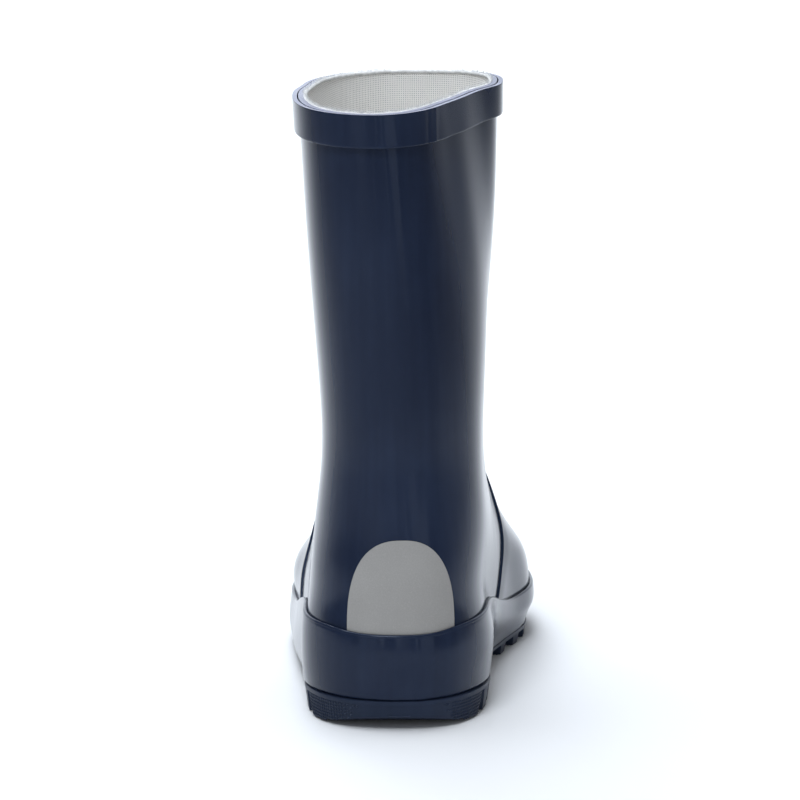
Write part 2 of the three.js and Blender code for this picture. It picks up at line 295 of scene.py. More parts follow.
rubberLook = {
    "dark": (0.0098, 0.0155, 0.0345, 1), "light": (0.0145, 0.0225, 0.047, 1),
    "roughness": 0.05, "coat": 0, "ior": 1.29, "tint": (0.78, 0.86, 1, 1),
    "cloudScale": 22, "streakScale": 260, "streakStretch": 0.05, "grainScale": 2600,
    "speckScale": 900, "speckSize": (0.03, 0.07), "bumpStrength": 0.25, "bumpHeight": 0.08 * mm,
}
soleShades = dict(rubberLook, dark=(0.011, 0.0175, 0.036, 1), light=(0.016, 0.024, 0.048, 1),
                  roughness=0.33)
# pale lilac for the rims' upward faces: a painted highlight that stands in for the white reflection on the
# glossy navy rubber
rimHighlightLook = dict(rubberLook, dark=(0.16, 0.17, 0.24, 1), light=(0.26, 0.27, 0.36, 1),
                roughness=0.31, coat=0.1)


def makeRubber(name, look):
    material, place, shader = newMaterial(name)
    clouds = place.noise(look["cloudScale"], 4)
    streaks = place.noise(look["streakScale"], stretch=(1, 1, look["streakStretch"]))
    grain = place.noise(look["grainScale"], 2)
    dust = 1 - place.cells(look["speckScale"]).clamped(*look["speckSize"])
    tone = (clouds * 0.7 + streaks * 0.3).clamped(0.35, 0.65)
    tone.mixed(look["dark"], look["light"]).into(shader, "Base Color")
    (clouds * 0.1 + streaks * 0.08 + dust * 0.12 + look["roughness"]).into(shader, "Roughness")
    relief = streaks * 0.5 + grain * 0.04 + dust * 0.12
    relief.bumpInto(shader, look["bumpStrength"], look["bumpHeight"])
    shader.inputs["IOR"].default_value = look["ior"]
    shader.inputs["Specular Tint"].default_value = look["tint"]
    shader.inputs["Coat Weight"].default_value = look["coat"]
    shader.inputs["Coat Roughness"].default_value = 0.12
    return material


glossyNavy = makeRubber("glossy navy rubber", rubberLook)
satinNavy = makeRubber("satin navy sole rubber", soleShades)
paintedRimHighlight = makeRubber("pale rim with painted highlight", rimHighlightLook)

knitLook = {"yarn": (0.98, 0.96, 0.92, 1), "hole": (0.3, 0.3, 0.3, 1), "stitch": 0.62,
            "roughness": 0.95, "sheen": 0.3, "bumpStrength": 0.7, "bumpHeight": 0.25 * mm}


def makeKnit(name, look):
    material, uv, shader = newMaterial(name, "knit")  # in millimetres
    turns = 2 * math.pi / look["stitch"]
    ribs = (uv.node("ShaderNodeSeparateXYZ", {0: uv}, out=0) * turns).sine()
    rows = (uv.node("ShaderNodeSeparateXYZ", {0: uv}, out=1) * turns).sine()
    fuzz = uv.noise(3, 5)
    gaps = (ribs * 0.5 + 0.5) * (rows * 0.5 + 0.5)
    holes = (gaps + fuzz * 0.3).clamped(0.62, 0.98)
    holes.mixed(look["yarn"], look["hole"]).into(shader, "Base Color")
    shader.inputs["Roughness"].default_value = look["roughness"]
    shader.inputs["Sheen Weight"].default_value = look["sheen"]
    relief = fuzz * 0.4 + ribs * 0.35 - holes * 0.8 + ribs * rows * 0.1
    relief.bumpInto(shader, look["bumpStrength"], look["bumpHeight"])
    return material


knit = makeKnit("ribbed knit lining", knitLook)

fluffLook = {"dark": (0.66, 0.66, 0.65, 1), "light": (0.84, 0.84, 0.83, 1), "toneScale": 700,
             "hairScale": 2400, "bumpStrength": 0.9, "bumpHeight": 0.3 * mm}


def makeFluff(name, look):
    material, place, shader = newMaterial(name)
    tone = place.noise(look["toneScale"], 4).clamped(0.3, 0.7)
    tone.mixed(look["dark"], look["light"]).into(shader, "Base Color")
    (tone * 0.05 + 0.9).into(shader, "Roughness")
    place.noise(look["hairScale"]).bumpInto(shader, look["bumpStrength"], look["bumpHeight"])
    return material


fluff = makeFluff("fluffy lining edge", fluffLook)

filmLook = {"dark": (0.262, 0.254, 0.243, 1), "light": (0.312, 0.303, 0.29, 1), "beadScale": 3200,
            "cloudScale": 60, "roughness": 0.42, "bumpStrength": 0.3, "bumpHeight": 0.05 * mm}


def makeReflective(name, look):
    material, place, shader = newMaterial(name)
    beads = place.cells(look["beadScale"])
    clouds = place.noise(look["cloudScale"], 4)
    tone = (clouds * 0.6 + beads * 0.4).clamped(0.2, 0.8)
    tone.mixed(look["dark"], look["light"]).into(shader, "Base Color")
    (clouds * 0.15 + look["roughness"]).into(shader, "Roughness")
    beads.bumpInto(shader, look["bumpStrength"], look["bumpHeight"])
    return material


reflective = makeReflective("grey reflective film", filmLook)
print("materials made")

collarLow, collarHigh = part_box("collar_band")
treadLow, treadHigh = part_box("outsole")
treadBack = treadLow.y
heelMiddle = min(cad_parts["outsole"].data.vertices, key=lambda point: point.co.y).co.x


def along(y):  # place on the boot's length, in millimetres from the back of the tread
    return treadBack + y * mm


def across(x):  # place on its width, in millimetres from the middle of the heel
    return heelMiddle + x * mm


def xOf(place):
    return (place.x - heelMiddle) / mm


def yOf(place):
    return (place.y - treadBack) / mm


# the CAD upper's outer wall becomes the rubber and its inner wall the lining
upperLook = {
    "footFrom": (30, 42), "footTo": (120, 150), "evening": 28,  # heights that are evened out, and how often
    "quarterThickness": 0.6 * mm, "vampThickness": 0.7 * mm,
    "seamLow": (77, 24), "seamHigh": (90, 41.5),  # y and z of two places on the quarter's front edge
    "vampTuck": 0.65 * mm, "vampTuckLength": 11 * mm, "underlap": 5 * mm,
    "beadRadius": 0.6 * mm, "beadBack": 0.3 * mm, "edgeRounding": 0.3 * mm,
    "rimThickness": 0.6 * mm, "rimRise": 0.12 * mm, "rimRounding": 0.2 * mm,
}


def isTopRim(face):
    return face.center.z > collarLow.z and face.normal.z > 0.75


def isBottomRim(face):
    return face.center.z < 20 * mm and face.normal.z < -0.7


walls = copyOfNode("upper", "upperWalls")
pickFaces(walls, isTopRim)
bpy.ops.mesh.duplicate()
upperRim = separated(walls, "upperRim")
pickFaces(walls, lambda face: isTopRim(face) or isBottomRim(face))
bpy.ops.mesh.delete(type="FACE")
bpy.ops.mesh.select_all(action="SELECT")
bpy.ops.mesh.separate(type="LOOSE")
endEdit()
lining, outerWall = sorted(bpy.context.selected_objects, key=lambda wall: wall.dimensions.x)

for wall in (lining, outerWall):
    subdivide(wall, 1, boundary_smooth="PRESERVE_CORNERS")
    foot = wall.vertex_groups.new(name="foot")
    for point in wall.data.vertices:
        height = point.co.z / mm
        weight = smoothStep(*upperLook["footFrom"], height) * (1 - smoothStep(*upperLook["footTo"], height))
        foot.add([point.index], weight, "REPLACE")
    modify(wall, "SMOOTH", factor=0.5, iterations=upperLook["evening"], vertex_group="foot")
    subdivide(wall, 1, boundary_smooth="PRESERVE_CORNERS")
print("upper walls evened", len(outerWall.data.vertices), len(lining.data.vertices))

shaftLook = {
    "from": (40, 85), "calmer": (170, 186), "calmTo": 0.6, "lean": 0.03, "leanFrom": 60,
    # upright ridges and troughs: x, height and width in millimetres
    "ridges": [(-22, 0.1, 3.4), (-14, -0.1, 3), (-9.5, 0.05, 0.9), (-7, 0.09, 2.4), (-2, -0.12, 1.9),
               (-0.6, 0.04, 0.7), (2.8, 0.13, 2.2), (5.4, 0.05, 0.8), (7.4, -0.14, 2),
               (12.2, 0.11, 2.2), (18, -0.1, 3), (24, 0.08, 3)],
    "frontFolds": [(91, -0.7, 9), (76, 0.35, 8)], "backFolds": [(82, -0.25, 9)],  # z, height and width
}


def shapeShaft(wall):
    normals = [point.normal.copy() for point in wall.data.vertices]
    for point, normal in zip(wall.data.vertices, normals):
        height = point.co.z / mm
        rise = smoothStep(*shaftLook["from"], height)
        rise *= 1 - shaftLook["calmTo"] * smoothStep(*shaftLook["calmer"], height)
        x = xOf(point.co) + (height - shaftLook["leanFrom"]) * shaftLook["lean"]
        facing = smoothStep(0.1, -0.5, normal.y) + smoothStep(0.2, 0.6, normal.y)
        front = smoothStep(0.1, 0.7, normal.y)
        back = smoothStep(-0.1, -0.7, normal.y)
        move = ripple(shaftLook["ridges"], x) * rise * min(facing, 1)
        move += ripple(shaftLook["frontFolds"], height) * front
        move += ripple(shaftLook["backFolds"], height) * back
        point.co += normal * move * mm


shapeShaft(outerWall)
skin = surfaceOf(outerWall)

seamA, seamB = upperLook["seamLow"], upperLook["seamHigh"]
seamPoint = Vector((0, along(seamA[0]), seamA[1] * mm))
seamNormal = Vector((0, seamB[1] - seamA[1], seamA[0] - seamB[0])).normalized()


def aheadOfSeam(place):
    return (place - seamPoint).dot(seamNormal)


def cutAt(piece, offset, keepFront):
    startEdit(piece, action="SELECT")
    bpy.ops.mesh.bisect(plane_co=seamPoint + seamNormal * offset, plane_no=seamNormal,
                        clear_inner=keepFront, clear_outer=not keepFront)
    endEdit()


def openEdges(piece, wanted):  # the numbers of the edges along an opening whose two ends are wanted
    startEdit(piece, "EDGE")
    bpy.ops.mesh.select_non_manifold()
    endEdit()
    corners = piece.data.vertices
    return [edge.index for edge in piece.data.edges
            if edge.select and all(wanted(corners[end].co) for end in edge.vertices)]


quarter = copyOf(outerWall, "quarter")
cutAt(quarter, 0, False)
seamEdges = openEdges(quarter, lambda place: abs(aheadOfSeam(place)) < 0.1 * mm)
quarterEdge = tubeAlong(quarter, seamEdges, upperLook["beadRadius"], "quarterEdge")
for point in quarterEdge.data.vertices:
    point.co -= seamNormal * upperLook["beadBack"]
finishPiece(quarterEdge, "upper_rubber", glossyNavy)

vamp = copyOf(outerWall, "vamp")
cutAt(vamp, -upperLook["underlap"], True)
vampNormals = [point.normal.copy() for point in vamp.data.vertices]
for point, normal in zip(vamp.data.vertices, vampNormals):  # it runs in under the quarter
    tuck = 1 - smoothStep(0, upperLook["vampTuckLength"], aheadOfSeam(point.co))
    point.co -= normal * upperLook["vampTuck"] * tuck
modify(quarter, "SOLIDIFY", thickness=upperLook["quarterThickness"], offset=-1, use_even_offset=True)
modify(vamp, "SOLIDIFY", thickness=upperLook["vampThickness"], offset=-1)
roundEdges(quarter, upperLook["edgeRounding"], 3)
for piece in (quarter, vamp):
    smoothFaces(piece)
    finishPiece(piece, "upper_rubber", glossyNavy, "upper")

subdivide(upperRim, 2, boundary_smooth="PRESERVE_CORNERS")
modify(upperRim, "SOLIDIFY", thickness=upperLook["rimThickness"], offset=-1)
roundEdges(upperRim, upperLook["rimRounding"])
for point in upperRim.data.vertices:
    point.co.z += upperLook["rimRise"]
smoothFaces(upperRim)
# the whole rim piece takes the pale colour, a painted highlight
finishPiece(upperRim, "upper_rubber", paintedRimHighlight)
print("quarter and vamp made", len(quarter.data.polygons), len(vamp.data.polygons))

liningLook = {
    "centre": (-2, 54), "band": 12 * mm, "ringStep": 0.02, "slant": 0.3, "thickness": 0.4 * mm,
    "edgeRadius": 0.62 * mm, "edgeDrop": -0.25, "edgeWave": 0.1,
    "fibres": 1500, "fibreLean": 0.7, "fibreLength": (0.6, 1.4), "fibreSpread": 0.45, "fibreRise": 0.35,
    "fibreRadius": 0.05 * mm, "fibreTip": 0.008 * mm, "fibreBend": 0.25,
}


def angleAt(place):  # round the shaft's middle
    return math.atan2(place.y - along(liningLook["centre"][1]), place.x - across(liningLook["centre"][0]))


def addKnitCoordinates(piece):  # millimetres round the boot and up it
    band = sorted((angleAt(point.co), point.co.x, point.co.y) for point in piece.data.vertices
                  if point.co.z > collarHigh.z - liningLook["band"])
    ring = [band[0]]
    for spot in band:
        if spot[0] - ring[-1][0] > liningLook["ringStep"]:
            ring.append(spot)
    ring.append((ring[0][0] + 2 * math.pi, ring[0][1], ring[0][2]))
    angles = [spot[0] for spot in ring]
    lengths = [0.0]
    for a, b in zip(ring, ring[1:]):
        lengths.append(lengths[-1] + math.dist(a[1:], b[1:]) / mm)
    stitches = round(lengths[-1] / knitLook["stitch"])
    stretch = stitches * knitLook["stitch"] / lengths[-1]
    lengths = [length * stretch for length in lengths]

    def roundTo(angle):
        if angle < angles[0]:
            return roundTo(angle + 2 * math.pi) - lengths[-1]
        i = min(bisect_right(angles, angle), len(angles) - 1) - 1
        share = (angle - angles[i]) / (angles[i + 1] - angles[i])
        return lengths[i] + (lengths[i + 1] - lengths[i]) * share

    layer = piece.data.uv_layers.new(name="knit")
    for face in piece.data.polygons:
        middleAngle = angleAt(face.center)
        for loop in face.loop_indices:
            place = piece.data.vertices[piece.data.loops[loop].vertex_index].co
            angle = angleAt(place)
            extra = 0  # a face across the start of the round isn't torn
            if angle - middleAngle > math.pi:
                extra = -lengths[-1]
            elif middleAngle - angle > math.pi:
                extra = lengths[-1]
            layer.data[loop].uv = (roundTo(angle) + extra, (place.z + place.y * liningLook["slant"]) / mm)


lining.name = "lining"
faceOutwards(lining)
addKnitCoordinates(lining)
topEdges = openEdges(lining, lambda place: place.z > collarLow.z)
liningEdge = tubeAlong(lining, topEdges, liningLook["edgeRadius"], "liningEdge")
topPoints = [lining.data.vertices[lining.data.edges[i].vertices[0]].co.copy() for i in topEdges]
for point in liningEdge.data.vertices:
    wave = math.sin(point.co.x * 520) * math.sin(point.co.y * 430) + 0.6 * math.sin(point.co.x * 1900)
    point.co.z += (liningLook["edgeDrop"] + liningLook["edgeWave"] * wave) * mm

deselectAll()
bpy.ops.mesh.primitive_cone_add(vertices=3, radius1=liningLook["fibreRadius"], radius2=liningLook["fibreTip"],
                                depth=1 * mm, location=(0, 0, 0.5 * mm), end_fill_type="NOTHING")
fibres = newest("liningFibres")
settle(fibres)
startEdit(fibres, action="SELECT")
bpy.ops.mesh.subdivide(number_cuts=1)
endEdit()
for point in fibres.data.vertices:
    point.co.x += liningLook["fibreBend"] * (point.co.z / mm) ** 2 * mm
fibrePlaces = []
for i in range(liningLook["fibres"]):
    spot = rng.choice(topPoints)
    lean = Vector((rng.uniform(-1, 1), rng.uniform(-1, 1), 0)) * liningLook["fibreLean"]
    aside, back = rng.gauss(0, liningLook["fibreSpread"]), rng.gauss(0, liningLook["fibreSpread"])
    spin, length = rng.uniform(0, 6.3), rng.uniform(*liningLook["fibreLength"])
    spot = spot + Vector((aside, back, liningLook["fibreRise"])) * mm
    fibrePlaces.append((spot, (up + lean).normalized(), spin, length))
repeatAt(fibres, fibrePlaces)
finishPiece(liningEdge, "knit_lining", fluff)
finishPiece(fibres, "knit_lining", fluff)
modify(lining, "SOLIDIFY", thickness=liningLook["thickness"], offset=1)
smoothFaces(lining, 60)
finishPiece(lining, "knit_lining", knit)
print("lining made", len(lining.data.polygons))

foxingLook = {
    "ridges": [(-18, 0.08, 3), (-8, -0.07, 3), (1, -0.1, 1.6), (5.6, 0.14, 1.8), (12.6, -0.18, 0.9),
               (17, 0.08, 2)],
    "beadAbove": 14 * mm, "beadOff": 0.9 * mm, "beadRadius": 0.8 * mm, "beadLean": 0.75 * mm,
    "outerOff": 0.8 * mm, "rounding": 0.25 * mm,
}


def offSkin(place):
    return skin.find_nearest(place)[3]


def isTopOuter(place):
    return place.z > foxingLook["beadAbove"] and offSkin(place) > foxingLook["beadOff"]


foxing = copyOfNode("foxing", "foxingBand")
keepCreases(foxing)
subdivide(foxing, 2)
startEdit(foxing, "EDGE")
bpy.ops.mesh.edges_select_sharp(sharpness=math.radians(50))
endEdit()
corners = foxing.data.vertices
beadEdges = [edge.index for edge in foxing.data.edges
             if edge.select and all(isTopOuter(corners[end].co) for end in edge.vertices)]
bead = tubeAlong(foxing, beadEdges, foxingLook["beadRadius"], "foxingBead")
for point in bead.data.vertices:  # it leans on the upper
    nearest = skin.find_nearest(point.co)[0]
    point.co += (nearest - point.co).normalized() * foxingLook["beadLean"]
foxingNormals = [point.normal.copy() for point in foxing.data.vertices]
for point, normal in zip(foxing.data.vertices, foxingNormals):
    if offSkin(point.co) > foxingLook["outerOff"] and normal.y < -0.2:
        point.co += normal * ripple(foxingLook["ridges"], xOf(point.co)) * mm
roundEdges(foxing, foxingLook["rounding"])
smoothFaces(foxing)
finishPiece(foxing, "foxing_rubber", glossyNavy, "foxing")
finishPiece(bead, "foxing_rubber", glossyNavy)
print("foxing made", len(foxing.data.polygons), len(bead.data.polygons))

collarLook = {
    "creases": [(-17, 0.16, 0.7), (-6, -0.12, 2.6), (3, 0.14, 2.4), (8.8, 0.3, 0.55), (11.2, -0.28, 0.6),
                (19, 0.12, 2)],
    "fade": 15 * mm, "outerOff": 1 * mm, "rounding": 0.35 * mm, "rimAbove": 8 * mm,
}
collar = copyOfNode("collar_band", "collarBand")
keepCreases(collar)
subdivide(collar, 3)
collarMiddle = (collarLow.y + collarHigh.y) / 2
for point in collar.data.vertices:
    if offSkin(point.co) > collarLook["outerOff"]:
        behind = smoothStep(collarMiddle, collarMiddle - collarLook["fade"], point.co.y)
        point.co.y += ripple(collarLook["creases"], xOf(point.co)) * behind * mm
roundEdges(collar, collarLook["rounding"], 3)
smoothFaces(collar)
finishPiece(collar, "collar_rubber", glossyNavy, "collar_band")
# the collar's upward-facing rim faces take the pale colour, a painted highlight
pickFaces(collar, lambda face: face.normal.z > 0.8 and face.center.z > collarLow.z + collarLook["rimAbove"])
collarRim = separated(collar, "collarRim")
finishPiece(collarRim, "collar_rubber", paintedRimHighlight)
print("collar band made", len(collar.data.polygons))

soleLook = {
    "knurlSunk": 0.3, "lean": 0.25, "halfWidth": 52, "lugStep": 2, "endStep": 1.2,
    "heelRows": (22, 62), "heelPitch": 1.25, "frontRows": (95, 157), "frontPitch": 1.05, "margin": 0.75,
    "number": (-10, 10.5, 25.6, 56.4), "numberPitch": 1.05, "numberMargin": 1.15, "numberRim": 0.75,
    "discPitch": 0.8, "disc": (8.5, 158.2, 12), "smallDisc": (9, 159, 4.8),
    "heelBlock": 20, "heelRibFrom": 0.9, "heelRibPitch": 1.06, "ribRadius": 0.36,
    "toeLine": 158.2, "toeLineBack": 0.4, "toeLineRadius": 0.45, "toeRibPitch": 1.45,
    "panel": {(-1, -1): (-12.8, 71.3), (1, -1): (14.2, 72), (1, 1): (16.3, 89), (-1, 1): (-11, 88.5)},
    "panelDepth": 0.7, "panelCorner": 2.2 * mm, "rounding": 0.35 * mm,
}
outsole = copyOfNode("outsole", "treadSole")
startEdit(outsole, action="SELECT")
bpy.ops.mesh.dissolve_limited(angle_limit=math.radians(1))
endEdit()
underside = surfaceOf(outsole)
soleLength = (treadHigh.y - treadLow.y) / mm
lowestByRow = {}


def heightAt(x, y):  # of the underside, seen from below, or None beside the sole
    hit = underside.ray_cast(Vector((across(x), along(y), -20 * mm)), up)
    return hit[0].z / mm if hit[0] else None


def lowestNear(y):  # the lugs' level: the lowest of the underside within a lug's pitch
    row = round(y)
    if row not in lowestByRow:
        heights = [heightAt(x, row + step) for step in range(-7, 8, 2) for x in range(-44, 47, 3)]
        lowestByRow[row] = min((height for height in heights if height is not None), default=None)
    return lowestByRow[row]


def wellOnLug(x, y, margin):  # on a lug's end, and not nearer to its edge than the margin
    height, lowest = heightAt(x, y), lowestNear(y)
    if height is None or lowest is None or height >= lowest + soleLook["lugStep"]:
        return False
    for dx, dy in ((margin, 0), (-margin, 0), (0, margin), (0, -margin)):
        beside = heightAt(x + dx, y + dy)
        if beside is None or abs(beside - height) > 0.35:
            return False
    return True


def isDigit(x, y):
    left, right, back, front = soleLook["number"]
    return back < y < front and left < x < right


def knurlPlaces(rows, pitch, wanted, sunk=soleLook["knurlSunk"]):  # row by row, each a little further over
    places = []
    for row in range(int((rows[1] - rows[0]) / pitch)):
        y = rows[0] + row * pitch
        x = (row * soleLook["lean"] * pitch) % pitch - soleLook["halfWidth"]
        while x < soleLook["halfWidth"]:
            if wanted(x, y):
                places.append((Vector((across(x), along(y), (heightAt(x, y) + sunk) * mm)), -up, 0, pitch))
            x += pitch
    return places


def newStud(name, base, top, height):  # four-sided and open at its base, for a pitch of 1
    deselectAll()
    bpy.ops.mesh.primitive_cone_add(vertices=4, radius1=base * mm, radius2=top * mm, depth=height * mm,
                                    location=(0, 0, height / 2 * mm), end_fill_type="NGON")
    stud = newest(name)
    settle(stud)
    pickFaces(stud, lambda face: face.normal.z < -0.9)
    bpy.ops.mesh.delete(type="FACE")
    endEdit()
    return stud


smallX, smallY, smallRadius = soleLook["smallDisc"]
heelPlaces = knurlPlaces(soleLook["heelRows"], soleLook["heelPitch"],
                         lambda x, y: not isDigit(x, y) and wellOnLug(x, y, soleLook["margin"]))
frontPlaces = knurlPlaces(soleLook["frontRows"], soleLook["frontPitch"],
                          lambda x, y: wellOnLug(x, y, soleLook["margin"]))
numberPlaces = knurlPlaces(soleLook["heelRows"], soleLook["numberPitch"],
                           lambda x, y: isDigit(x, y) and wellOnLug(x, y, soleLook["numberMargin"]))
discPlaces = knurlPlaces((smallY + 0.5, smallY + smallRadius), soleLook["discPitch"],
                         lambda x, y: math.dist((x, y), (smallX, smallY)) < smallRadius, 0)

heelSide = {
    "rows": 7, "lowest": 1.2, "rowPitch": 1.05, "columns": 76, "firstTurn": -175, "turn": 2.3,
    "centre": (-0.5, 27), "reach": 60 * mm, "frontEnd": 22, "bareHalf": 13, "filling": (12, 20),
    "stray": 0.1, "sunk": 0.05 * mm, "spin": 0.5, "size": 1,
}
for row in range(heelSide["rows"]):
    height = (heelSide["lowest"] + row * heelSide["rowPitch"]) * mm
    centre = Vector((across(heelSide["centre"][0]), along(heelSide["centre"][1]), height))
    for column in range(heelSide["columns"]):  # round the heel from the inner side to the outer one
        turn = math.radians(heelSide["firstTurn"] + column * heelSide["turn"])
        outwards = Vector((math.cos(turn), math.sin(turn), 0))
        place, normal = underside.ray_cast(centre + outwards * heelSide["reach"], -outwards)[:2]
        if place and yOf(place) < heelSide["frontEnd"] and abs(normal.z) < 0.5:
            side = abs(xOf(place))
            share = smoothStep(*heelSide["filling"], side) + heelSide["stray"]
            if side > heelSide["bareHalf"] and rng.random() < share:
                heelPlaces.append((place - normal * heelSide["sunk"], normal, heelSide["spin"],
                                   heelSide["size"]))

studs = []
for name, base, top, height, places in (("heelKnurl", 0.6, 0.22, 0.3, heelPlaces),
                                        ("forefootKnurl", 0.6, 0.2, 0.32, frontPlaces + discPlaces),
                                        ("numberKnurl", 0.62, 0.15, 0.3, numberPlaces)):
    studs.append(newStud(name, base, top, height))
    repeatAt(studs[-1], places)
knurl = joined(studs, "soleKnurl")
finishPiece(knurl, "sole_rubber", satinNavy)
print("knurl made", len(heelPlaces), len(frontPlaces), len(numberPlaces), len(discPlaces))

ribs = []


def addRib(x0, x1, y, z, radius=soleLook["ribRadius"]):
    deselectAll()
    bpy.ops.mesh.primitive_cylinder_add(vertices=8, radius=radius * mm, depth=(x1 - x0) * mm,
                                        location=(across((x0 + x1) / 2), along(y), z * mm),
                                        rotation=(0, math.pi / 2, 0))
    ribs.append(newest("rib"))
    settle(ribs[-1])


def ribSpan(y, start=3, step=0.5, tolerance=0.6, margin=0.8):  # a rib's two ends and its height
    middle = heightAt(start, y)
    if middle is None:
        return None
    ends = []
    for side in (-1, 1):
        x, level = start, middle
        while level is not None and abs(level - middle) <= tolerance:
            x += side * step
            level = heightAt(x, y)
        ends.append(x - side * (step + margin))
    return ends[0], ends[1], middle


y = soleLook["heelRibFrom"]
while y < soleLook["heelBlock"] - 0.6:
    span = ribSpan(y)
    if span:
        addRib(span[0], span[1], y, span[2] + soleLook["knurlSunk"])
    y += soleLook["heelRibPitch"]
discX, discY, discRadius = soleLook["disc"]
y = soleLook["toeLine"]
while y < soleLength - 1:
    span = ribSpan(y)
    reach = discRadius ** 2 - (y - discY) ** 2
    if span and span[1] - span[0] > 3:
        half = math.sqrt(max(reach, 0))
        runs = [(span[0], discX - half), (discX + half, span[1])] if reach > 0 else [span[:2]]
        for x0, x1 in runs:  # the disc stays bare
            if x1 - x0 > 1:
                addRib(x0, x1, y, span[2])
    y += soleLook["toeRibPitch"]
span = ribSpan(soleLook["toeLine"])
addRib(span[0], span[1], soleLook["toeLine"] - soleLook["toeLineBack"], span[2], soleLook["toeLineRadius"])
soleRibs = joined(ribs, "soleRibs")
smoothFaces(soleRibs, 50)
finishPiece(soleRibs, "sole_rubber", satinNavy)


def isLugEnd(face):
    lowest = lowestNear(yOf(face.center))
    return (face.normal.z < -0.9 and lowest is not None and yOf(face.center) < soleLook["frontRows"][1]
            and face.center.z / mm < lowest + soleLook["endStep"])


def isDigitEnd(face):
    return isLugEnd(face) and isDigit(xOf(face.center), yOf(face.center))


# the lugs' ends rise by the knurl's height, and the number's strokes keep a rim round theirs
rise = (0, 0, soleLook["knurlSunk"] * mm)
pickFaces(outsole, lambda face: isLugEnd(face) and not isDigitEnd(face))
bpy.ops.transform.translate(value=rise)
endEdit()
pickFaces(outsole, isDigitEnd)
bpy.ops.mesh.dissolve_faces()
bpy.ops.mesh.inset(thickness=soleLook["numberRim"] * mm, depth=0)
bpy.ops.transform.translate(value=rise)
endEdit()

# the sunk panel under the arch is cut to one depth at its four corners
deselectAll()
bpy.ops.mesh.primitive_cube_add(size=2 * mm, location=(0, 0, 0))
cutter = newest("panelCutter")
for point in cutter.data.vertices:
    x, y = soleLook["panel"][(round(point.co.x / mm), round(point.co.y / mm))]
    top = (heightAt(x, y) + soleLook["panelDepth"]) * mm
    point.co = (across(x), along(y), top if point.co.z > 0 else top - 4 * mm)
pickEdges(cutter, lambda a, b: abs(a.z - b.z) > 3 * mm)
bpy.ops.mesh.bevel(offset=soleLook["panelCorner"], segments=6, affect="EDGES")
endEdit()
modify(outsole, "BOOLEAN", object=cutter, operation="DIFFERENCE", solver="EXACT")
bpy.data.objects.remove(cutter)
roundEdges(outsole, soleLook["rounding"], angle=40)
smoothFaces(outsole, 35)
finishPiece(outsole, "sole_rubber", satinNavy, "outsole")

ringLook = {"place": (23.8, 90.6), "radius": 4.6 * mm, "thickness": 0.42 * mm, "figures": "27",
            "figureSize": 6.4 * mm, "figureDepth": 0.3 * mm, "figuresDown": 0.05 * mm}
ringX, ringY = ringLook["place"]
ringPlace = Vector((across(ringX), along(ringY), heightAt(ringX, ringY) * mm))
deselectAll()
bpy.ops.mesh.primitive_torus_add(major_radius=ringLook["radius"], minor_radius=ringLook["thickness"],
                                 major_segments=64, minor_segments=10, location=ringPlace)
ring = newest("ring")
settle(ring)
deselectAll()
bpy.ops.object.text_add(location=ringPlace - up * ringLook["figuresDown"], rotation=(0, math.pi, 0))
figures = newest("figures")
figures.data.body = ringLook["figures"]
figures.data.size = ringLook["figureSize"]
figures.data.extrude = ringLook["figureDepth"]
figures.data.align_x = "CENTER"
figures.data.align_y = "CENTER"
activate(figures)
bpy.ops.object.convert(target="MESH")
settle(figures)
sizeRing = joined([ring, figures], "sizeRing")
smoothFaces(sizeRing)
finishPiece(sizeRing, "sole_rubber", satinNavy)
print("sole made", len(outsole.data.polygons))

insole = copyOfNode("insole", "footbed")
keepCreases(insole)
subdivide(insole, 2)
insoleKnit = insole.data.uv_layers.new(name="knit")
for loop in insole.data.loops:
    place = insole.data.vertices[loop.vertex_index].co
    insoleKnit.data[loop.index].uv = (place.x / mm, place.y / mm)
smoothFaces(insole)
finishPiece(insole, "knit_lining", knit, "insole")

patchLook = {
    "middle": 0.3, "behind": -12, "halfWidth": 16.4, "low": 29.2, "sideTop": 31, "top": 58.8,
    "power": 2.45, "points": 96, "thickness": 0.28 * mm, "lift": 0.04 * mm, "rounding": 0.1 * mm,
}
deselectAll()
bpy.ops.mesh.primitive_circle_add(vertices=patchLook["points"], radius=1, rotation=(math.pi / 2, 0, 0))
patch = newest("reflectivePatch")
settle(patch)
bottomCount = patchLook["points"] // 4
for index, point in enumerate(patch.data.vertices):  # a straight bottom and an arch over it
    if index <= bottomCount:
        x, z = patchLook["halfWidth"] * (2 * index / bottomCount - 1), patchLook["low"]
    else:
        turn = math.pi * (index - bottomCount) / (patchLook["points"] - bottomCount)
        power = 2 / patchLook["power"]
        x = patchLook["halfWidth"] * math.copysign(abs(math.cos(turn)) ** power, math.cos(turn))
        z = patchLook["sideTop"] + (patchLook["top"] - patchLook["sideTop"]) * math.sin(turn) ** power
    point.co = (across(patchLook["middle"] + x), along(patchLook["behind"]), z * mm)
startEdit(patch, "VERT", "SELECT")
bpy.ops.mesh.fill_grid(span=bottomCount, offset=0)
bpy.ops.mesh.subdivide(number_cuts=1)
endEdit()
modify(patch, "SHRINKWRAP", target=quarter, wrap_method="PROJECT", use_project_y=True,
       use_negative_direction=True, use_positive_direction=True, offset=patchLook["lift"])
modify(patch, "SOLIDIFY", thickness=patchLook["thickness"], offset=1)
roundEdges(patch, patchLook["rounding"])
faceOutwards(patch)
smoothFaces(patch)
finishPiece(patch, "reflective_patch", reflective)
bpy.data.objects.remove(outerWall)
print("insole and patch made", len(insole.data.polygons), len(patch.data.polygons))

view = {"yaw": math.radians(0.65), "distance": 0.9, "height": 0.2466, "aimAlong": 0.045,
        "aimHeight": 0.096, "lens": 136}


def inView(far, height):  # a place straight ahead, that far from the back of the tread
    return Vector((heelMiddle + far * math.sin(view["yaw"]), treadBack + far * math.cos(view["yaw"]), height))


